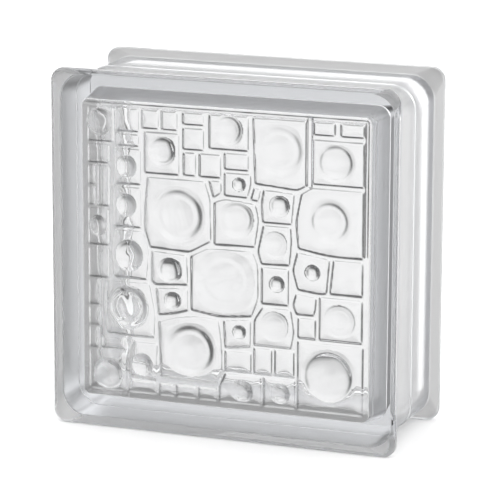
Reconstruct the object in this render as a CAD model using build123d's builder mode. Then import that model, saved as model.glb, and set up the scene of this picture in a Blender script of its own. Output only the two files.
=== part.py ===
# Pressed glass block: two moulded halves, fused along a seam into one sealed hollow piece.
# Millimetres. +X right, +Y from the front pane to the back pane, +Z up, origin at the middle of the base.
import os
from math import atan2, degrees

from build123d import *

os.makedirs("parts", exist_ok=True)

# Overall size
block_width = 190.0
block_height = 190.0
block_depth = 80.0

# Flange: the outer border of each pane, standing out past the side walls
flange_land = 5.0
flange_slope = 4.6
flange_corner_radius = 7.0
face_edge_radius = 2.6
flange_heel_radius = 1.4
flange_foot = 0.5

# Mortar groove round the four sides, a little deeper at the seam
groove_depth = 3.8
seam_fall = 0.5
seam_corner_radius = 13.0

# Bead of glass squeezed out where the two halves are fused
seam_bead_width = 1.8
seam_bead_height = 0.5

# Sealed hollow, widest at the seam because the mould plunger tapers
pane_thickness = 8.0
rim_width = 15.8
hollow_draft = 3.4
hollow_seam_corner_radius = 7.0
hollow_floor_radius = 1.5

# Relief pressed into the inner face of the front pane: ridges round cells, bull's-eye lenses in some of them
ridge_height = 1.2
ridge_flank_angle = 35.0
lens_height = 1.5

# How far a blank stands past the ball that trims it, and how near an edge lies to the plane it is picked by
overrun = 1.0
plane_slack = 0.001


def upright(left, right, bottom, top):
    """Corners of a cell with level and upright sides."""
    return [(left, bottom), (right, bottom), (right, top), (left, top)]


# Corners of the cells, as shares of the window's width and height, counted from its middle
left_cell_shares = [
    upright(-0.488, -0.388, 0.362, 0.488),
    upright(-0.488, -0.404, 0.290, 0.353),
    upright(-0.488, -0.456, 0.217, 0.281),
    upright(-0.444, -0.404, 0.147, 0.281),
    upright(-0.488, -0.456, 0.148, 0.209),
    upright(-0.488, -0.407, 0.015, 0.138),
    upright(-0.488, -0.408, -0.095, 0.006),
    upright(-0.488, -0.439, -0.188, -0.104),
    upright(-0.488, -0.439, -0.258, -0.197),
    upright(-0.488, -0.445, -0.335, -0.267),
    upright(-0.432, -0.350, -0.333, -0.297),
    upright(-0.488, -0.354, -0.488, -0.346),
    upright(-0.379, -0.297, 0.401, 0.488),
    upright(-0.373, -0.297, 0.353, 0.391),
    upright(-0.382, -0.290, 0.226, 0.343),
    upright(-0.385, -0.290, 0.082, 0.216),
    [(-0.384, -0.088), (-0.271, -0.090), (-0.264, 0.013), (-0.284, 0.072), (-0.381, 0.069), (-0.393, 0.000)],
    [(-0.410, -0.281), (-0.328, -0.286), (-0.246, -0.284), (-0.241, -0.208), (-0.262, -0.101), (-0.416, -0.105),
     (-0.422, -0.196)],
    [(-0.328, -0.423), (-0.240, -0.427), (-0.234, -0.304), (-0.316, -0.304), (-0.332, -0.341), (-0.333, -0.379)],
]
bottom_cell_shares = [
    [(-0.341, -0.488), (-0.237, -0.488), (-0.237, -0.438), (-0.330, -0.435)],
    upright(-0.227, -0.175, -0.488, -0.438),
    upright(-0.166, -0.096, -0.488, -0.438),
    upright(-0.087, -0.024, -0.488, -0.438),
    [(-0.015, -0.488), (0.130, -0.488), (0.130, -0.380), (0.006, -0.380), (-0.015, -0.426)],
    upright(0.140, 0.248, -0.488, -0.380),
    upright(0.257, 0.480, -0.488, -0.247),
]
top_cell_shares = [
    upright(-0.287, -0.228, 0.415, 0.488),
    upright(-0.218, -0.162, 0.415, 0.488),
    upright(-0.278, -0.156, 0.268, 0.404),
    upright(-0.144, -0.069, 0.437, 0.488),
    upright(-0.143, -0.070, 0.355, 0.426),
    upright(-0.141, -0.098, 0.269, 0.345),
    upright(-0.086, -0.010, 0.269, 0.345),
    upright(-0.052, 0.084, 0.364, 0.488),
    upright(0.001, 0.085, 0.300, 0.354),
    [(0.001, 0.213), (0.080, 0.211), (0.094, 0.253), (0.092, 0.289), (0.001, 0.289)],
    [(-0.037, 0.202), (-0.009, 0.222), (-0.010, 0.259), (-0.053, 0.259)],
    [(0.092, 0.206), (0.119, 0.203), (0.127, 0.242), (0.104, 0.248)],
    [(0.107, 0.260), (0.253, 0.249), (0.281, 0.265), (0.281, 0.486), (0.099, 0.486)],
    upright(0.305, 0.378, 0.434, 0.486),
    upright(0.396, 0.476, 0.434, 0.486),
    upright(0.303, 0.476, 0.274, 0.419),
]
middle_cell_shares = [
    [(-0.259, 0.021), (-0.120, 0.015), (-0.045, 0.057), (-0.047, 0.196), (-0.067, 0.254), (-0.268, 0.255),
     (-0.277, 0.164), (-0.279, 0.082)],
    [(-0.034, 0.048), (0.107, 0.051), (0.121, 0.139), (0.118, 0.164), (0.108, 0.193), (0.080, 0.197),
     (0.000, 0.202), (-0.034, 0.188)],
    [(-0.114, -0.178), (-0.013, -0.192), (0.097, -0.181), (0.120, -0.120), (0.118, -0.006), (0.098, 0.037),
     (0.000, 0.036), (-0.057, 0.034), (-0.115, 0.003)],
    [(-0.240, -0.104), (-0.126, -0.095), (-0.129, 0.003), (-0.252, 0.009), (-0.254, -0.092)],
    [(-0.229, -0.204), (-0.170, -0.196), (-0.125, -0.181), (-0.126, -0.107), (-0.238, -0.115)],
    [(-0.221, -0.412), (-0.126, -0.419), (-0.025, -0.415), (-0.005, -0.372), (-0.006, -0.284), (-0.019, -0.203),
     (-0.120, -0.191), (-0.164, -0.206), (-0.230, -0.214)],
]
right_cell_shares = [
    [(0.134, 0.135), (0.234, 0.136), (0.240, 0.189), (0.243, 0.237), (0.137, 0.243), (0.128, 0.196)],
    [(0.130, -0.003), (0.227, 0.000), (0.235, 0.082), (0.230, 0.126), (0.136, 0.126), (0.117, 0.038)],
    upright(0.131, 0.224, -0.134, -0.012),
    [(0.256, 0.059), (0.366, 0.041), (0.476, 0.042), (0.476, 0.262), (0.303, 0.262), (0.265, 0.239), (0.247, 0.145)],
    [(0.255, -0.077), (0.339, -0.086), (0.354, -0.082), (0.364, 0.031), (0.253, 0.047), (0.237, -0.013)],
    [(0.364, -0.082), (0.476, -0.082), (0.476, 0.031), (0.376, 0.031)],
    [(0.251, -0.159), (0.311, -0.159), (0.319, -0.133), (0.319, -0.099), (0.250, -0.090), (0.239, -0.129)],
    upright(0.257, 0.318, -0.237, -0.169),
    upright(0.330, 0.476, -0.237, -0.094),
    [(0.106, -0.275), (0.234, -0.275), (0.245, -0.221), (0.232, -0.146), (0.136, -0.144), (0.106, -0.190)],
    [(0.005, -0.294), (0.093, -0.283), (0.095, -0.192), (0.000, -0.203)],
    upright(0.005, 0.096, -0.370, -0.303),
    upright(0.106, 0.168, -0.370, -0.284),
    upright(0.178, 0.245, -0.370, -0.284),
]
cell_shares = left_cell_shares + bottom_cell_shares + top_cell_shares + middle_cell_shares + right_cell_shares

# Bull's-eye lenses: middle across, middle up and radius, as shares of the window
lens_shares = [
    (-0.438, 0.429, 0.042),
    (-0.447, 0.079, 0.030),
    (-0.410, -0.424, 0.048),
    (-0.338, 0.284, 0.031),
    (-0.344, 0.156, 0.032),
    (-0.335, -0.013, 0.045),
    (-0.339, -0.189, 0.066),
    (-0.289, -0.382, 0.034),
    (0.065, -0.437, 0.033),
    (0.198, -0.431, 0.029),
    (0.362, -0.359, 0.082),
    (-0.216, 0.345, 0.044),
    (0.013, 0.429, 0.047),
    (0.052, 0.253, 0.021),
    (-0.162, 0.133, 0.086),
    (0.044, 0.128, 0.051),
    (0.003, -0.072, 0.095),
    (-0.189, -0.051, 0.038),
    (-0.181, -0.152, 0.027),
    (-0.117, -0.314, 0.081),
    (0.189, 0.374, 0.078),
    (0.381, 0.347, 0.058),
    (0.192, 0.193, 0.032),
    (0.177, 0.066, 0.038),
    (0.184, -0.066, 0.024),
    (0.362, 0.155, 0.064),
    (0.305, -0.017, 0.023),
    (0.398, -0.169, 0.047),
    (0.176, -0.205, 0.044),
    (0.054, -0.237, 0.021),
]

# Sizes worked out from the ones above
half_depth = block_depth / 2
mid_height = block_height / 2
land_start = half_depth - flange_land
groove_end = land_start - flange_slope
pane_back = half_depth - pane_thickness
ridge_top = pane_back - ridge_height
seam_inset = groove_depth + seam_fall
seam_size = (block_width - 2 * seam_inset, block_height - 2 * seam_inset)
bead_size = (seam_size[0] + 2 * seam_bead_height, seam_size[1] + 2 * seam_bead_height)
window_width = block_width - 2 * rim_width
window_height = block_height - 2 * rim_width
hollow_seam_size = (window_width + 2 * hollow_draft, window_height + 2 * hollow_draft)
inner_bead_size = (hollow_seam_size[0] - 2 * seam_bead_height, hollow_seam_size[1] - 2 * seam_bead_height)
groove_flare = degrees(atan2(seam_fall, groove_end))
plunger_draft = degrees(atan2(hollow_draft, pane_back))


def section_plane(forward):
    """Upright plane facing the viewer, this far in front of the seam, centred on the block."""
    return Plane(origin=(0, -forward, mid_height), x_dir=(1, 0, 0), z_dir=(0, -1, 0))


def edges_at(part, forward):
    """Edges of a part that lie wholly in one section plane."""
    return part.edges().filter_by_position(Axis.Y, -forward - plane_slack, -forward + plane_slack)


def lens_cap(across_share, up_share, radius_share):
    """Low bull's-eye cap: a disc on the ground of the relief, rounded off by a large ball."""
    radius = radius_share * min(window_width, window_height)
    ball_radius = (radius * radius + lens_height * lens_height) / (2 * lens_height)
    across = across_share * window_width
    up = up_share * window_height
    ball_forward = pane_back - lens_height + ball_radius
    with BuildPart() as cap:
        with BuildSketch(section_plane(pane_back)):
            with Locations((across, up)):
                Circle(radius)
        extrude(amount=-lens_height - overrun)
        with Locations((across, -ball_forward, mid_height + up)):
            Sphere(ball_radius, mode=Mode.INTERSECT)
    return cap.part


lens_caps = [lens_cap(*shares) for shares in lens_shares]

with BuildPart() as hollow_half:
    # What the plunger presses out of one half: narrower towards the pane
    with BuildSketch(section_plane(0)):
        RectangleRounded(*hollow_seam_size, hollow_seam_corner_radius)
    extrude(amount=pane_back)
    draft(hollow_half.faces().filter_by(Axis.Y, reverse=True), section_plane(0), plunger_draft)

with BuildPart() as glass_block:
    # Side walls of one half, flaring from the seam to the flange
    with BuildSketch(section_plane(0)):
        RectangleRounded(*seam_size, seam_corner_radius)
    extrude(amount=groove_end)
    draft(glass_block.faces().filter_by(Axis.Y, reverse=True), section_plane(0), -groove_flare)
    # Flange, its heel sloping down into the mortar groove, its edges fire-polished
    with BuildSketch(section_plane(groove_end)):
        RectangleRounded(block_width, block_height, flange_corner_radius)
    extrude(amount=flange_land + flange_slope)
    flange_back = glass_block.faces().filter_by(Axis.Y).sort_by(Axis.Y)[1]
    flange_rim = flange_back.outer_wire().edges()
    chamfer(flange_rim, groove_depth - flange_foot, flange_slope, reference=flange_back)
    fillet(edges_at(glass_block, land_start), flange_heel_radius)
    fillet(edges_at(glass_block, half_depth), face_edge_radius)
    add(hollow_half.part, mode=Mode.SUBTRACT)
    # The second half, and the bead where the two are fused
    mirror(about=Plane.XZ)
    with BuildSketch(section_plane(0)):
        RectangleRounded(*bead_size, seam_corner_radius)
        RectangleRounded(*inner_bead_size, hollow_seam_corner_radius, mode=Mode.SUBTRACT)
    extrude(amount=seam_bead_width / 2, both=True)
    # Layer over the window of the front pane, in which the relief is pressed
    with BuildSketch(section_plane(ridge_top)):
        RectangleRounded(*hollow_seam_size, hollow_seam_corner_radius)
    extrude(amount=ridge_height)
    fillet(edges_at(glass_block, ridge_top), hollow_floor_radius)
    fillet(edges_at(glass_block, -pane_back), hollow_floor_radius)
    # Cells with sloping flanks, leaving the ridges between them, and the lenses in the cells
    with BuildSketch(section_plane(ridge_top)):
        for corners in cell_shares:
            with BuildLine():
                Polyline(*[(across * window_width, up * window_height) for across, up in corners], close=True)
            make_face()
    extrude(amount=ridge_height, taper=ridge_flank_angle, mode=Mode.SUBTRACT)
    add(lens_caps)

glass_block.part.label = "glass_block"
export_step(glass_block.part, "parts/glass_block.step")
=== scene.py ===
"""Clear pressed glass block on a pale floor, in soft studio light.

Metres. +X right, +Y from the front pane to the back pane, +Z up, origin at the middle of the base.
"""

import math

import bpy
import numpy as np
from mathutils import Matrix, Vector


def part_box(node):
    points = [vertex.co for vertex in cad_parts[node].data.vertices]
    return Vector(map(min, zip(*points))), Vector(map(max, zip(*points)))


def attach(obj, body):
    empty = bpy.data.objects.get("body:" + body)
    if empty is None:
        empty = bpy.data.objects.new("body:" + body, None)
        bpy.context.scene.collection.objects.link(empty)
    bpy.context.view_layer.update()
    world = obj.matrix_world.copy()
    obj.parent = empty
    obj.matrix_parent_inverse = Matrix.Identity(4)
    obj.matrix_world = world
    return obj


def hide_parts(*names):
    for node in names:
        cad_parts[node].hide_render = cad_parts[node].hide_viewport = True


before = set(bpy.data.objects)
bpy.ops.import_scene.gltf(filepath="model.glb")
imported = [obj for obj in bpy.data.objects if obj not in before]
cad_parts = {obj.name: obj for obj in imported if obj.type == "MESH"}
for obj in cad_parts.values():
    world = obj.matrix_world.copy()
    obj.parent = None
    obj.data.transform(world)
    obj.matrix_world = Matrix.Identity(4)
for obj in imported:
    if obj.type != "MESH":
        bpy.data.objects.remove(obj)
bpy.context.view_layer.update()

MM = 0.001

# The block's own size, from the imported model
LOW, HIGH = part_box("glass_block")
MIDDLE = (LOW + HIGH) / 2
HALF_WIDTH = (HIGH.x - LOW.x) / 2
HALF_HEIGHT = (HIGH.z - LOW.z) / 2
HALF_DEPTH = (HIGH.y - LOW.y) / 2

# Flange and mortar groove. The corners, edge, heel and root are radii.
FLANGE_LAND = 5.0 * MM
FLANGE_SLOPE = 4.6 * MM
FLANGE_CORNER = 7.0 * MM
FACE_EDGE = 2.6 * MM
FLANGE_HEEL = 1.4 * MM
GROOVE_DEPTH = 3.8 * MM
GROOVE_ROOT = 2.6 * MM
GROOVE_CORNER = 12.5 * MM
SEAM_FALL = 0.5 * MM
SEAM_CORNER = 13.0 * MM
BEAD_HEIGHT = 0.5 * MM
BEAD_REACH = 1.3 * MM

# Sealed hollow. The corners and the floor are radii.
PANE = 8.0 * MM
RIM = 15.8 * MM
HOLLOW_DRAFT = 3.4 * MM
HOLLOW_CORNER = 3.6 * MM
HOLLOW_SEAM_CORNER = 7.0 * MM
HOLLOW_FLOOR = 0.5 * MM

# Relief inside the front pane: ridges round the cells, a skirt inside each cell, bars on the widest ridges, and domed
# lenses, each in a collar and some with a dish in the top
RIDGE_HEIGHT = 0.85 * MM
RIDGE_FLANK = 1.6 * MM
SKIRT_HEIGHT = 0.45 * MM
SKIRT_REACH = 5.0 * MM
BAR_HEIGHT = 0.45 * MM
BAR_FLANK = 1.2 * MM
CELL_CORNER = 0.8 * MM
LENS_EDGE_SLOPE = 0.27
LENS_CROWN_SLOPE = 0.22
LENS_DOMED = 6.0 * MM
LENS_FLATTENING = 1.1 / MM
LENS_FOOT = 0.4 * MM
LENS_COLLAR_HEIGHT = 0.3 * MM
LENS_COLLAR_SHARE = 0.22
LENS_DISH_SHARE = 0.72
LENS_DISH_DEPTH = 0.022
LENS_DISH_EDGE = 0.2
WAVE_HEIGHT = 0.024 * MM
RELIEF_MARGIN = 0.3 * MM

PANE_BACK = HALF_DEPTH - PANE
RIDGE_TOP = PANE_BACK - RIDGE_HEIGHT
WINDOW_WIDTH = 2 * (HALF_WIDTH - RIM)
WINDOW_HEIGHT = 2 * (HALF_HEIGHT - RIM)

# How finely the surfaces are drawn
RELIEF_STEPS = 288
RELIEF_CORNER_STEPS = 6
OUTER_SIDE_STEPS = 2
OUTER_CORNER_STEPS = 9
ARC_STEPS = 8
BEAD_STEPS = 10
NORMAL_STEP = 0.02 * MM

# Limits of the sums: how near a straight side a point counts as on it, as a share of the corner's radius, and the
# largest power that is taken
STRAIGHT_SLACK = 1e-6
LARGEST_POWER = 60.0

# Glass: how matt the flanges and the groove are left by the mould, how milky that makes them, the width and strength
# of the streaks in them, the range of the noise that draws the streaks, and the tint
FLANGE_MATT = 0.6
GROOVE_MATT = 0.34
MATT_MILKINESS = 0.25
STREAK_WIDTH = 3.0 * MM
STREAK_STRENGTH = 0.1
STREAK_NOISE = (0.3, 0.7)
GLASS_TINT = 24.0

# Light of the studio's panels by degrees to the right of straight behind the block, then by height from straight
# below (0) to straight above (1). Near those two it is even all round.
LIGHT_BY_TURN = [
    (-180, 0.4), (-174, 0.5), (-166, 1.1), (-100, 1.2), (-94, 0.6), (-82, 0.6), (-76, 1.3), (-46, 1.15), (-30, 1.1),
    (-25, 0.9), (-21.5, 0.03), (-13, 0.03), (-9.5, 0.5), (-6.5, 0.88), (-2.5, 0.95), (3, 1.0), (9.5, 1.0), (12, 0.6),
    (14, 0.1), (19, 0.1), (21.5, 0.8), (25, 1.0), (46, 1.1), (54, 1.6), (72, 1.6), (79, 2.0), (91, 2.0), (97, 0.9),
    (103, 1.2), (170, 1.1), (180, 0.4),
]
LIGHT_BY_HEIGHT = [
    (0.0, 1.0), (0.12, 1.2), (0.18, 0.5), (0.21, 0.05), (0.28, 0.05), (0.325, 0.7), (0.355, 0.93), (0.39, 0.96),
    (0.485, 0.95), (0.515, 0.4), (0.595, 0.4), (0.64, 1.2), (0.72, 1.7), (1.0, 1.7),
]
EVEN_FROM = 0.5
EVEN_BY = 0.8
PAPER_LIGHT = 1.45
PAPER_REACH = 6.0
LIGHT_PASSES = 32

# Camera
CAMERA_YAW = math.radians(-20.822)
CAMERA_PITCH = math.radians(13.012)
CAMERA_ROLL = math.radians(0.2146)
CAMERA_DISTANCE = 1528.985 * MM
CAMERA_TARGET = Vector((1.134, 0, 92.876)) * MM
CAMERA_SENSOR = 36.0
CAMERA_FOCAL = 209.8


def upright(left, right, bottom, top):
    """Corners of a cell with level and upright sides."""
    return [(left, bottom), (right, bottom), (right, top), (left, top)]


# Corners of the cells, as shares of the window's width and height, counted from its middle
CELL_SHARES = [
    upright(-0.478, -0.388, 0.362, 0.476),
    upright(-0.478, -0.404, 0.290, 0.353),
    upright(-0.478, -0.456, 0.217, 0.281),
    upright(-0.444, -0.404, 0.147, 0.281),
    upright(-0.478, -0.456, 0.148, 0.209),
    upright(-0.478, -0.407, 0.015, 0.138),
    upright(-0.478, -0.408, -0.095, 0.006),
    upright(-0.478, -0.439, -0.188, -0.104),
    upright(-0.478, -0.439, -0.258, -0.197),
    upright(-0.478, -0.445, -0.335, -0.267),
    upright(-0.432, -0.350, -0.333, -0.297),
    upright(-0.478, -0.354, -0.478, -0.346),
    upright(-0.379, -0.297, 0.401, 0.476),
    upright(-0.373, -0.297, 0.353, 0.391),
    upright(-0.382, -0.290, 0.226, 0.343),
    upright(-0.385, -0.290, 0.082, 0.216),
    [(-0.384, -0.088), (-0.271, -0.090), (-0.264, 0.013), (-0.284, 0.072), (-0.381, 0.069), (-0.393, 0.000)],
    [(-0.410, -0.281), (-0.328, -0.286), (-0.246, -0.284), (-0.241, -0.208), (-0.262, -0.101), (-0.416, -0.105),
     (-0.422, -0.196)],
    [(-0.328, -0.423), (-0.240, -0.427), (-0.234, -0.304), (-0.316, -0.304), (-0.332, -0.341), (-0.333, -0.379)],
    [(-0.341, -0.478), (-0.237, -0.478), (-0.237, -0.438), (-0.330, -0.435)],
    upright(-0.227, -0.175, -0.478, -0.438),
    upright(-0.166, -0.096, -0.478, -0.438),
    upright(-0.087, -0.024, -0.478, -0.438),
    [(-0.015, -0.478), (0.130, -0.478), (0.130, -0.380), (0.006, -0.380), (-0.015, -0.426)],
    upright(0.140, 0.248, -0.478, -0.380),
    upright(0.257, 0.480, -0.478, -0.247),
    upright(-0.287, -0.228, 0.415, 0.476),
    upright(-0.218, -0.162, 0.415, 0.476),
    upright(-0.278, -0.156, 0.268, 0.404),
    upright(-0.144, -0.069, 0.437, 0.476),
    upright(-0.143, -0.070, 0.355, 0.426),
    upright(-0.141, -0.098, 0.269, 0.345),
    upright(-0.086, -0.010, 0.269, 0.345),
    upright(-0.052, 0.084, 0.364, 0.476),
    upright(0.001, 0.085, 0.300, 0.354),
    [(0.001, 0.213), (0.080, 0.211), (0.094, 0.253), (0.092, 0.289), (0.001, 0.289)],
    [(-0.037, 0.202), (-0.009, 0.222), (-0.010, 0.259), (-0.053, 0.259)],
    [(0.092, 0.206), (0.119, 0.203), (0.127, 0.242), (0.104, 0.248)],
    [(0.107, 0.260), (0.253, 0.249), (0.281, 0.265), (0.281, 0.476), (0.099, 0.476)],
    upright(0.305, 0.378, 0.434, 0.476),
    upright(0.396, 0.476, 0.434, 0.476),
    upright(0.303, 0.476, 0.274, 0.419),
    [(-0.259, 0.021), (-0.120, 0.015), (-0.045, 0.057), (-0.047, 0.196), (-0.067, 0.254), (-0.268, 0.255),
     (-0.277, 0.164), (-0.279, 0.082)],
    [(-0.034, 0.048), (0.107, 0.051), (0.121, 0.139), (0.118, 0.164), (0.108, 0.193), (0.080, 0.197),
     (0.000, 0.202), (-0.034, 0.188)],
    [(-0.114, -0.178), (-0.013, -0.192), (0.097, -0.181), (0.120, -0.120), (0.118, -0.006), (0.098, 0.037),
     (0.000, 0.036), (-0.057, 0.034), (-0.115, 0.003)],
    [(-0.240, -0.104), (-0.126, -0.095), (-0.129, 0.003), (-0.252, 0.009), (-0.254, -0.092)],
    [(-0.229, -0.204), (-0.170, -0.196), (-0.125, -0.181), (-0.126, -0.107), (-0.238, -0.115)],
    [(-0.221, -0.412), (-0.126, -0.419), (-0.025, -0.415), (-0.005, -0.372), (-0.006, -0.284), (-0.019, -0.203),
     (-0.120, -0.191), (-0.164, -0.206), (-0.230, -0.214)],
    [(0.134, 0.135), (0.234, 0.136), (0.240, 0.189), (0.243, 0.237), (0.137, 0.243), (0.128, 0.196)],
    [(0.130, -0.003), (0.227, 0.000), (0.235, 0.082), (0.230, 0.126), (0.136, 0.126), (0.117, 0.038)],
    upright(0.131, 0.224, -0.134, -0.012),
    [(0.256, 0.059), (0.366, 0.041), (0.476, 0.042), (0.476, 0.262), (0.303, 0.262), (0.265, 0.239), (0.247, 0.145)],
    [(0.255, -0.077), (0.339, -0.086), (0.354, -0.082), (0.364, 0.031), (0.253, 0.047), (0.237, -0.013)],
    [(0.364, -0.082), (0.476, -0.082), (0.476, 0.031), (0.376, 0.031)],
    [(0.251, -0.159), (0.311, -0.159), (0.319, -0.133), (0.319, -0.099), (0.250, -0.090), (0.239, -0.129)],
    upright(0.257, 0.318, -0.237, -0.169),
    upright(0.330, 0.476, -0.237, -0.094),
    [(0.106, -0.275), (0.234, -0.275), (0.245, -0.221), (0.232, -0.146), (0.136, -0.144), (0.106, -0.190)],
    [(0.005, -0.294), (0.093, -0.283), (0.095, -0.192), (0.000, -0.203)],
    upright(0.005, 0.096, -0.370, -0.303),
    upright(0.106, 0.168, -0.370, -0.284),
    upright(0.178, 0.245, -0.370, -0.284),
]

# Bull's-eye lenses: middle across, middle up and radius as shares of the window, then the shares of the full height
# of the dome and of the full depth of the dish in its top
LENS_SHARES = [
    (-0.438, 0.429, 0.042, 1.0, 0.0),
    (-0.447, 0.079, 0.030, 1.0, 0.0),
    (-0.410, -0.424, 0.048, 1.0, 0.0),
    (-0.343, 0.284, 0.032, 1.0, 0.0),
    (-0.344, 0.156, 0.032, 1.0, 0.0),
    (-0.335, -0.013, 0.045, 1.0, 0.0),
    (-0.339, -0.189, 0.066, 1.0, 0.5),
    (-0.289, -0.382, 0.034, 1.0, 0.0),
    (0.065, -0.437, 0.033, 1.0, 0.0),
    (0.198, -0.431, 0.029, 1.0, 0.0),
    (0.362, -0.359, 0.082, 1.08, 0.0),
    (-0.216, 0.345, 0.044, 1.0, 0.0),
    (0.013, 0.429, 0.047, 0.9, 0.4),
    (0.052, 0.253, 0.021, 1.1, 0.0),
    (-0.162, 0.133, 0.086, 0.95, 1.0),
    (0.044, 0.139, 0.055, 0.8, 0.6),
    (0.003, -0.070, 0.097, 0.5, 0.7),
    (-0.189, -0.051, 0.038, 1.1, 0.0),
    (-0.181, -0.152, 0.027, 1.1, 0.0),
    (-0.117, -0.314, 0.081, 0.95, 1.0),
    (0.189, 0.374, 0.078, 0.85, 1.0),
    (0.381, 0.347, 0.058, 1.0, 0.2),
    (0.192, 0.193, 0.032, 1.0, 0.0),
    (0.177, 0.066, 0.038, 0.5, 0.5),
    (0.184, -0.066, 0.024, 1.1, 0.0),
    (0.362, 0.155, 0.064, 1.0, 1.0),
    (0.305, -0.017, 0.023, 1.1, 0.0),
    (0.398, -0.169, 0.047, 0.5, 0.5),
    (0.176, -0.205, 0.044, 0.6, 0.5),
    (0.054, -0.237, 0.021, 1.1, 0.0),
]

# Bars that stand higher along the widest ridges and along the border, given as the cells are
BAR_SHARES = [
    upright(0.2845, 0.3000, 0.262, 0.4895),
    upright(0.4815, 0.4895, 0.045, 0.4895),
    upright(-0.4895, 0.4895, 0.4815, 0.4895),
]

# Slow waves that the press leaves in the pane: crests to the width of the window, across and up
WAVE_COUNTS = [(13.0, 7.0), (-6.0, 17.0), (9.0, -15.0), (19.0, 3.0)]


# Shapes of the glass


def smooth(share):
    """Rises from 0 to 1 with level ends."""
    share = np.clip(share, 0, 1)
    return share * share * (3 - 2 * share)


def inside_depth(corners, across, up):
    """How far points lie inside a cell, with its corners rounded."""
    total = 0
    for (x0, z0), (x1, z1) in zip(corners, corners[1:] + corners[:1]):
        length = math.hypot(x1 - x0, z1 - z0)
        depth = ((x1 - x0) * (up - z0) - (z1 - z0) * (across - x0)) / length
        total = total + np.exp(np.clip(-depth / CELL_CORNER * 2, -LARGEST_POWER, LARGEST_POWER))
    return -np.log(total) * CELL_CORNER / 2


def relief_height(across, up):
    """How far the relief stands above the ground of its cells, into the hollow."""
    ridge = np.ones_like(across)
    skirt = np.ones_like(across)
    for shares in CELL_SHARES:
        corners = [(x * WINDOW_WIDTH, z * WINDOW_HEIGHT) for x, z in shares]
        depth = inside_depth(corners, across, up)
        ridge = ridge - smooth(depth / RIDGE_FLANK + 0.5)
        inward = np.clip(depth / SKIRT_REACH, 0, 1)
        skirt = skirt - inward * (2 - inward)
    skirt = np.clip(skirt, 0, 1) * SKIRT_HEIGHT
    height = skirt + np.clip(ridge, 0, 1) * (RIDGE_HEIGHT - skirt)
    for shares in BAR_SHARES:
        corners = [(x * WINDOW_WIDTH, z * WINDOW_HEIGHT) for x, z in shares]
        height = height + BAR_HEIGHT * smooth(inside_depth(corners, across, up) / BAR_FLANK + 0.5)
    for x_share, z_share, radius_share, height_share, dish_share in LENS_SHARES:
        radius = radius_share * WINDOW_WIDTH
        reach = np.hypot(across - x_share * WINDOW_WIDTH, up - z_share * WINDOW_HEIGHT) / radius
        power = max(2 + (radius - LENS_DOMED) * LENS_FLATTENING, 2)
        dome = radius * LENS_EDGE_SLOPE / power * (1 - reach ** power)
        dome = dome + radius * LENS_CROWN_SLOPE / 2 * (1 - reach ** 2)
        dish = radius * LENS_DISH_DEPTH * (1 - smooth((reach - LENS_DISH_SHARE) / LENS_DISH_EDGE + 0.5))
        collar = LENS_COLLAR_HEIGHT * (1 - smooth((reach - 1) / LENS_COLLAR_SHARE))
        dome = dome * height_share - dish * dish_share + LENS_COLLAR_HEIGHT
        height = np.maximum(height * smooth((reach - 1) / LENS_COLLAR_SHARE + 0.5), collar)
        meet = np.clip(1 - np.abs(dome - height) / LENS_FOOT, 0, 1)
        height = np.maximum(height, dome) + meet * meet * LENS_FOOT / 4
    for crests_across, crests_up in WAVE_COUNTS:
        turn = 2 * math.pi * (crests_across * across / WINDOW_WIDTH + crests_up * up / WINDOW_HEIGHT)
        height = height + WAVE_HEIGHT * np.sin(turn + crests_up)
    return height


def rounded_path(corners, radii):
    """Points and directions along a line of straight runs, each corner rounded by a tangent arc."""
    corners = [np.array(corner, float) for corner in corners]
    points = [corners[0]]
    ways = [corners[1] - corners[0]]
    for before, corner, after, radius in zip(corners, corners[1:], corners[2:], radii):
        way_in = (corner - before) / np.linalg.norm(corner - before)
        way_out = (after - corner) / np.linalg.norm(after - corner)
        turn = math.acos(np.clip(way_in @ way_out, -1, 1))
        reach = radius * math.tan(turn / 2)
        bend = way_out - way_in * (way_in @ way_out)
        bend = bend / np.linalg.norm(bend)
        for step in range(ARC_STEPS + 1):
            angle = turn * step / ARC_STEPS
            points.append(corner - way_in * reach + radius * (way_in * math.sin(angle) + bend * (1 - math.cos(angle))))
            ways.append(way_in * math.cos(angle) + bend * math.sin(angle))
    points.append(corners[-1])
    ways.append(corners[-1] - corners[-2])
    return np.array(points), np.array([way / np.linalg.norm(way) for way in ways])


def beaded_wall(start, stop, lift):
    """Points and directions down a straight side wall to the seam at its end, with half of the fused bead."""
    points = []
    ways = []
    run = np.array(stop) - np.array(start)
    for step in range(BEAD_STEPS + 1):
        forward = BEAD_REACH * (1 - step / BEAD_STEPS)
        share = 1 - forward / start[1]
        turn = math.pi * forward / BEAD_REACH
        points.append(np.array(start) + run * share + np.array((lift * (1 + math.cos(turn)) / 2, 0)))
        slope = lift * math.sin(turn) / 2 * math.pi / BEAD_REACH
        way = np.array((run[0] / start[1] + slope, -1))
        ways.append(way / np.linalg.norm(way))
    return np.array(points), np.array(ways)


def outer_half():
    """Side of one half from its face to the seam, as (inset, forward) points and directions."""
    land_start = HALF_DEPTH - FLANGE_LAND
    groove_end = land_start - FLANGE_SLOPE
    corners = [(2 * FACE_EDGE, HALF_DEPTH), (0, HALF_DEPTH), (0, land_start), (GROOVE_DEPTH, groove_end)]
    corners.append((GROOVE_DEPTH + SEAM_FALL, 0))
    points, ways = rounded_path(corners, (FACE_EDGE, FLANGE_HEEL, GROOVE_ROOT))
    wall, wall_ways = beaded_wall(corners[3], corners[4], -BEAD_HEIGHT)
    return np.vstack([points[1:-1], wall]), np.vstack([ways[1:-1], wall_ways])


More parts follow.
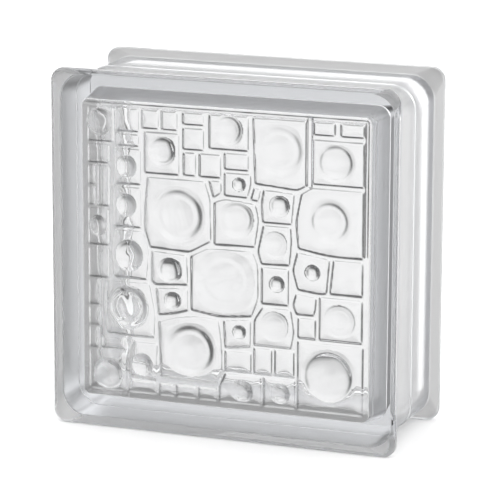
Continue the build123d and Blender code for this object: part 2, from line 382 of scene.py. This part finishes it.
def hollow_half(floor_forward):
    """Side of the hollow from one pane to the seam, as (inset, forward) points and directions."""
    corners = [(RIM + 2 * HOLLOW_FLOOR, floor_forward), (RIM, floor_forward), (RIM - HOLLOW_DRAFT, 0)]
    points, ways = rounded_path(corners, (HOLLOW_FLOOR,))
    wall, wall_ways = beaded_wall(corners[1], corners[2], BEAD_HEIGHT)
    return np.vstack([points[1:-1], wall]), np.vstack([ways[1:-1], wall_ways])


def outer_corner(forward):
    """Corner radius of the outside, from the flange to the groove and the seam."""
    groove_end = HALF_DEPTH - FLANGE_LAND - FLANGE_SLOPE
    forward = abs(forward)
    in_groove = SEAM_CORNER + (GROOVE_CORNER - SEAM_CORNER) * min(forward / groove_end, 1)
    return in_groove + (FLANGE_CORNER - in_groove) * float(smooth((forward - groove_end) / FLANGE_SLOPE))


def hollow_corner(forward):
    """Corner radius of the hollow, from the panes to the seam."""
    return HOLLOW_SEAM_CORNER + (HOLLOW_CORNER - HOLLOW_SEAM_CORNER) * min(abs(forward) / PANE_BACK, 1)


def whole_side(front, back):
    """Joins the sides of the two halves at the seam."""
    points, ways = front
    back_points, back_ways = back
    back_points = back_points[-2::-1] * (1, -1)
    back_ways = back_ways[-2::-1] * (-1, 1)
    return np.vstack([points, back_points]), np.vstack([ways, back_ways])


def place(column, row, half_width, half_height, corner, side_steps, corner_steps):
    """Where a grid point lies in an upright rounded square, for columns and rows counted from its middle."""
    column_over = np.clip(np.abs(column) - side_steps / 2, 0, None) / corner_steps
    row_over = np.clip(np.abs(row) - side_steps / 2, 0, None) / corner_steps
    across = (half_width - corner) * np.clip(np.abs(column) / (side_steps / 2), 0, 1)
    up = (half_height - corner) * np.clip(np.abs(row) / (side_steps / 2), 0, 1)
    across = across + corner * column_over * np.sqrt(1 - row_over * row_over / 2)
    up = up + corner * row_over * np.sqrt(1 - column_over * column_over / 2)
    return across * np.sign(column), up * np.sign(row)


def ring_plan(side_steps, corner_steps):
    """Columns and rows of the grid points round the edge of a rounded square, anticlockwise seen from the front."""
    half = side_steps / 2 + corner_steps
    count = side_steps + 2 * corner_steps
    run = np.arange(count) - half
    columns = np.concatenate([run, np.full(count, half), -run, np.full(count, -half)])
    rows = np.concatenate([np.full(count, -half), run, np.full(count, half), -run])
    return columns, rows


def side_rings(points, ways, corner_at, side_steps, corner_steps, outward):
    """Rings of points and normals that carry a side's outline round the block."""
    columns, rows = ring_plan(side_steps, corner_steps)
    rings = []
    normals = []
    step = NORMAL_STEP
    for (inset, forward), (inset_way, forward_way) in zip(points, ways):
        corner = corner_at(forward)
        here = place(columns, rows, HALF_WIDTH - inset, HALF_HEIGHT - inset, corner, side_steps, corner_steps)
        ends = []
        for sign in (-1, 1):
            end_inset = inset + sign * inset_way * step
            end_corner = corner_at(forward + sign * forward_way * step)
            ends.append(place(columns, rows, HALF_WIDTH - end_inset, HALF_HEIGHT - end_inset, end_corner,
                              side_steps, corner_steps))
        along = np.stack([(ends[1][0] - ends[0][0]) / (2 * step), np.full(len(columns), -forward_way),
                          (ends[1][1] - ends[0][1]) / (2 * step)], 1)
        lean_x = np.sign(here[0]) * np.clip(np.abs(here[0]) - (HALF_WIDTH - inset - corner), 0, None)
        lean_z = np.sign(here[1]) * np.clip(np.abs(here[1]) - (HALF_HEIGHT - inset - corner), 0, None)
        lean_x = np.where(np.abs(lean_x) < corner * STRAIGHT_SLACK, 0, lean_x)
        lean_z = np.where(np.abs(lean_z) < corner * STRAIGHT_SLACK, 0, lean_z)
        around = np.stack([-lean_z, np.zeros(len(columns)), lean_x], 1)
        normal = np.cross(along, around)
        normal = normal / np.linalg.norm(normal, axis=1)[:, None]
        rings.append(np.stack([here[0], np.full(len(columns), -forward), here[1]], 1))
        normals.append(normal * outward)
    return rings, normals


class Skin:
    """Points, normals and faces of one closed surface, gathered piece by piece."""

    def __init__(self):
        self.points = []
        self.normals = []
        self.faces = []
        self.matt = {}
        self.count = 0

    def add(self, points, normals):
        """Keeps points and their normals, and returns the points' numbers."""
        self.points.append(points)
        self.normals.append(normals)
        first = self.count
        self.count = self.count + len(points)
        return np.arange(first, self.count)

    def band(self, first, second):
        """Faces between two rings."""
        quads = np.stack([first, np.roll(first, -1), np.roll(second, -1), second], 1)
        self.faces.extend(quads.tolist())

    def fan_in(self, fine, coarse, kept):
        """Flat faces between a fine ring and a coarse one that keeps only some of its places."""
        for spot, (first, last) in enumerate(zip(kept, list(kept[1:]) + [kept[0] + len(fine)])):
            run = [fine[step % len(fine)] for step in range(first, last + 1)]
            following = coarse[(spot + 1) % len(coarse)]
            self.faces.append([int(point) for point in run + [following, coarse[spot]]])

    def sheet(self, grid):
        """Faces of a grid of points."""
        quads = np.stack([grid[:-1, :-1], grid[:-1, 1:], grid[1:, 1:], grid[1:, :-1]], -1)
        self.faces.extend(quads.reshape(-1, 4).tolist())


def add_outside(skin):
    """Flat faces, flanges, mortar groove and seam bead."""
    points, ways = whole_side(outer_half(), outer_half())
    rings, normals = side_rings(points, ways, outer_corner, OUTER_SIDE_STEPS, OUTER_CORNER_STEPS, 1)
    loops = [skin.add(ring, normal) for ring, normal in zip(rings, normals)]
    skin.faces.append(loops[0].tolist())
    skin.faces.append(loops[-1][::-1].tolist())
    # The groove lies past three rounds and the two flats between them, counted from either face
    groove_start = 3 * ARC_STEPS + 2
    for step, (first, second) in enumerate(zip(loops, loops[1:])):
        skin.band(second, first)
        from_face = min(step, len(loops) - 2 - step)
        if from_face >= ARC_STEPS:
            matt = GROOVE_MATT if from_face >= groove_start else FLANGE_MATT
            skin.matt.update(dict.fromkeys(range(len(skin.faces) - len(first), len(skin.faces)), matt))


def add_hollow(skin):
    """Relief of the front pane, side walls of the hollow and the plain inner face of the back pane."""
    half = RELIEF_STEPS / 2 + RELIEF_CORNER_STEPS
    count = np.arange(-half, half + 1)
    columns, rows = np.meshgrid(count, count)
    edge = RIM + HOLLOW_FLOOR + RELIEF_MARGIN
    corner = HOLLOW_CORNER
    across, up = place(columns, rows, HALF_WIDTH - edge, HALF_HEIGHT - edge, corner, RELIEF_STEPS, RELIEF_CORNER_STEPS)
    height = relief_height(across, up)
    slope_x = (relief_height(across + NORMAL_STEP, up) - relief_height(across - NORMAL_STEP, up)) / (2 * NORMAL_STEP)
    slope_z = (relief_height(across, up + NORMAL_STEP) - relief_height(across, up - NORMAL_STEP)) / (2 * NORMAL_STEP)
    normal = np.stack([-slope_x, np.ones_like(height), -slope_z], -1)
    normal = normal / np.linalg.norm(normal, axis=-1)[..., None]
    points = np.stack([across, -PANE_BACK + height, up], -1)
    grid = skin.add(points.reshape(-1, 3), normal.reshape(-1, 3)).reshape(columns.shape)
    skin.sheet(grid[::-1])
    side_points, ways = whole_side(hollow_half(RIDGE_TOP), hollow_half(PANE_BACK))
    columns, rows = ring_plan(RELIEF_STEPS, RELIEF_CORNER_STEPS)
    kept = np.flatnonzero((np.abs(columns) >= RELIEF_STEPS / 2) & (np.abs(rows) >= RELIEF_STEPS / 2))
    rings, normals = side_rings(side_points, ways, hollow_corner, RELIEF_STEPS, RELIEF_CORNER_STEPS, -1)
    loops = [skin.add(ring[kept], normal[kept]) for ring, normal in zip(rings, normals)]
    fine = np.concatenate([grid[0, :-1], grid[:-1, -1], grid[-1, :0:-1], grid[:0:-1, 0]])
    skin.fan_in(fine, loops[0], kept)
    for first, second in zip(loops, loops[1:]):
        skin.band(first, second)
    skin.faces.append(loops[-1].tolist())


def make_glass_block():
    """The whole block as one closed skin of glass round its sealed hollow."""
    skin = Skin()
    add_outside(skin)
    add_hollow(skin)
    points = np.vstack(skin.points) + np.array(MIDDLE)
    mesh = bpy.data.meshes.new("pressed_glass_block")
    mesh.from_pydata(points.tolist(), [], skin.faces)
    mesh.shade_smooth()
    mesh.materials.append(pressed_glass())
    matt = mesh.attributes.new("matt_sides", "FLOAT", "FACE")
    for face, roughness in skin.matt.items():
        matt.data[face].value = roughness
    mesh.normals_split_custom_set_from_vertices(np.vstack(skin.normals).tolist())
    block = bpy.data.objects.new("pressed_glass_block", mesh)
    bpy.context.scene.collection.objects.link(block)
    return block


# Finishes


def linear(code):
    """Scene colour of an sRGB hex value."""
    shares = [int(code[start:start + 2], 16) / 255 for start in (1, 3, 5)]
    return [share / 12.92 if share <= 0.04045 else ((share + 0.055) / 1.055) ** 2.4 for share in shares] + [1.0]


def add_node(tree, kind, settings=None, links=None, stops=()):
    """Adds a node, gives its properties, plain inputs and ramp their settings, and links its other inputs."""
    node = tree.nodes.new(kind)
    for name, value in (settings or {}).items():
        if isinstance(name, int) or name in node.inputs:
            node.inputs[name].default_value = value
        else:
            setattr(node, name, value)
    for name, socket in (links or {}).items():
        tree.links.new(socket, node.inputs[name])
    for position, strength in stops:
        ramp = node.color_ramp.elements
        there = [stop for stop in ramp if stop.position == position]
        stop = there[0] if there else ramp.new(position)
        stop.color = (strength, strength, strength, 1)
    return node


def pressed_glass():
    """Soda-lime glass, pressed and fire-polished: clear, glossy, a cool grey where it is thick. The sides, which
    the mortar grips, are left matt from the mould with faint streaks, so they scatter light and look milky."""
    material = bpy.data.materials.new("clear_pressed_soda_lime_glass")
    material.use_nodes = True
    tree = material.node_tree
    tree.nodes.clear()
    sides = add_node(tree, "ShaderNodeAttribute", {"attribute_name": "matt_sides"})
    where = add_node(tree, "ShaderNodeTexCoord")
    depth = add_node(tree, "ShaderNodeSeparateXYZ", {}, {"Vector": where.outputs["Object"]})
    streaks = add_node(tree, "ShaderNodeTexNoise", {
        "noise_dimensions": "1D", "Scale": 1 / STREAK_WIDTH, "Detail": 2.0}, {"W": depth.outputs["Y"]})
    drawn = add_node(tree, "ShaderNodeMapRange", {
        "From Min": STREAK_NOISE[0], "From Max": STREAK_NOISE[1],
        "To Min": 1 - STREAK_STRENGTH, "To Max": 1 + STREAK_STRENGTH}, {"Value": streaks.outputs[0]})
    matt = add_node(tree, "ShaderNodeMath", {"operation": "MULTIPLY"}, {0: sides.outputs["Fac"], 1: drawn.outputs[0]})
    clear = add_node(tree, "ShaderNodeMath", {"operation": "MULTIPLY_ADD", 1: -MATT_MILKINESS, 2: 1.0},
                     {0: sides.outputs["Fac"]})
    body = add_node(tree, "ShaderNodeBsdfPrincipled", {"Base Color": linear("#FEFEFE"), "IOR": 1.52},
                    {"Roughness": matt.outputs[0], "Transmission Weight": clear.outputs[0]})
    tint = add_node(tree, "ShaderNodeVolumeAbsorption", {"Color": linear("#E8E9EB"), "Density": GLASS_TINT})
    add_node(tree, "ShaderNodeOutputMaterial", {}, {"Surface": body.outputs[0], "Volume": tint.outputs[0]})
    return material


def matt_white_paper():
    """Matt white paper sweep: pale, with no gloss."""
    material = bpy.data.materials.new("matt_white_paper")
    material.use_nodes = True
    tree = material.node_tree
    tree.nodes.clear()
    paper = add_node(tree, "ShaderNodeBsdfDiffuse", {"Color": linear("#FAFAFA")})
    add_node(tree, "ShaderNodeOutputMaterial", {}, {"Surface": paper.outputs[0]})
    return material


# Studio


def make_floor():
    """Sheet of white paper under and round the block."""
    corners = [(x * PAPER_REACH, y * PAPER_REACH, 0) for x, y in ((-1, -1), (1, -1), (1, 1), (-1, 1))]
    mesh = bpy.data.meshes.new("floor")
    mesh.from_pydata(corners, [], [(0, 1, 2, 3)])
    floor = bpy.data.objects.new("floor", mesh)
    bpy.context.scene.collection.objects.link(floor)
    mesh.materials.append(matt_white_paper())
    floor.visible_transmission = False


def light_studio():
    """White panels all round, with narrow dark gaps beside, below and above the one behind the block that draw its
    edges, and white paper in sight."""
    world = bpy.data.worlds.new("studio")
    bpy.context.scene.world = world
    world.use_nodes = True
    tree = world.node_tree
    tree.nodes.clear()
    way = add_node(tree, "ShaderNodeTexCoord")
    parts = add_node(tree, "ShaderNodeSeparateXYZ", {}, {"Vector": way.outputs["Generated"]})
    bearing = add_node(tree, "ShaderNodeMath", {"operation": "ARCTAN2"}, {0: parts.outputs["X"], 1: parts.outputs["Y"]})
    turned = add_node(tree, "ShaderNodeMath", {"operation": "SUBTRACT", 1: CAMERA_YAW}, {0: bearing.outputs[0]})
    turn = add_node(tree, "ShaderNodeMath", {"operation": "WRAP", 1: math.pi, 2: -math.pi}, {0: turned.outputs[0]})
    share = add_node(tree, "ShaderNodeMapRange", {"From Min": -math.pi, "From Max": math.pi},
                     {"Value": turn.outputs[0]})
    around = add_node(tree, "ShaderNodeValToRGB", {}, {"Fac": share.outputs[0]},
                      [(0.5 + degrees / 360, light) for degrees, light in LIGHT_BY_TURN])
    tilt = add_node(tree, "ShaderNodeMath", {"operation": "ABSOLUTE"}, {0: parts.outputs["Z"]})
    even = add_node(tree, "ShaderNodeMapRange", {
        "From Min": EVEN_FROM, "From Max": EVEN_BY, "interpolation_type": "SMOOTHSTEP"}, {"Value": tilt.outputs[0]})
    level = add_node(tree, "ShaderNodeMix", {"data_type": "FLOAT", "B": 1.0},
                     {"Factor": even.outputs[0], "A": around.outputs[0]})
    rise = add_node(tree, "ShaderNodeMapRange", {"From Min": -1.0}, {"Value": parts.outputs["Z"]})
    height = add_node(tree, "ShaderNodeValToRGB", {}, {"Fac": rise.outputs[0]}, LIGHT_BY_HEIGHT)
    both = add_node(tree, "ShaderNodeMath", {"operation": "MULTIPLY"}, {0: level.outputs[0], 1: height.outputs[0]})
    path = add_node(tree, "ShaderNodeLightPath")
    plain = add_node(tree, "ShaderNodeMath", {"operation": "MAXIMUM"},
                     {0: path.outputs["Is Camera Ray"], 1: path.outputs["Is Diffuse Ray"]})
    panels = add_node(tree, "ShaderNodeBackground", {"Color": linear("#FFFFFF")}, {"Strength": both.outputs[0]})
    paper = add_node(tree, "ShaderNodeBackground", {"Color": linear("#FFFFFF"), "Strength": PAPER_LIGHT})
    mix = add_node(tree, "ShaderNodeMixShader", {}, {0: plain.outputs[0], 1: panels.outputs[0], 2: paper.outputs[0]})
    add_node(tree, "ShaderNodeOutputWorld", {}, {"Surface": mix.outputs[0]})


def place_camera():
    """Stands a little to the right of the block, above it and far off, looking down."""
    ahead = Vector((math.sin(CAMERA_YAW) * math.cos(CAMERA_PITCH), math.cos(CAMERA_YAW) * math.cos(CAMERA_PITCH),
                    -math.sin(CAMERA_PITCH)))
    right = Vector((math.cos(CAMERA_YAW), -math.sin(CAMERA_YAW), 0))
    up = right.cross(ahead)
    right = right * math.cos(CAMERA_ROLL) + up * math.sin(CAMERA_ROLL)
    up = right.cross(ahead)
    data = bpy.data.cameras.new("camera")
    data.sensor_width = CAMERA_SENSOR
    data.lens = CAMERA_FOCAL
    camera = bpy.data.objects.new("camera", data)
    bpy.context.scene.collection.objects.link(camera)
    camera.matrix_world = Matrix.Translation(CAMERA_TARGET - ahead * CAMERA_DISTANCE) @ Matrix(
        (right, up, -ahead)).transposed().to_4x4()
    bpy.context.scene.camera = camera


block = make_glass_block()
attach(block, "root")
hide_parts("glass_block")
make_floor()
light_studio()
place_camera()
scene = bpy.context.scene
scene.cycles.max_bounces = LIGHT_PASSES
scene.cycles.transmission_bounces = LIGHT_PASSES
scene.cycles.glossy_bounces = LIGHT_PASSES
scene.view_settings.view_transform = "Standard"
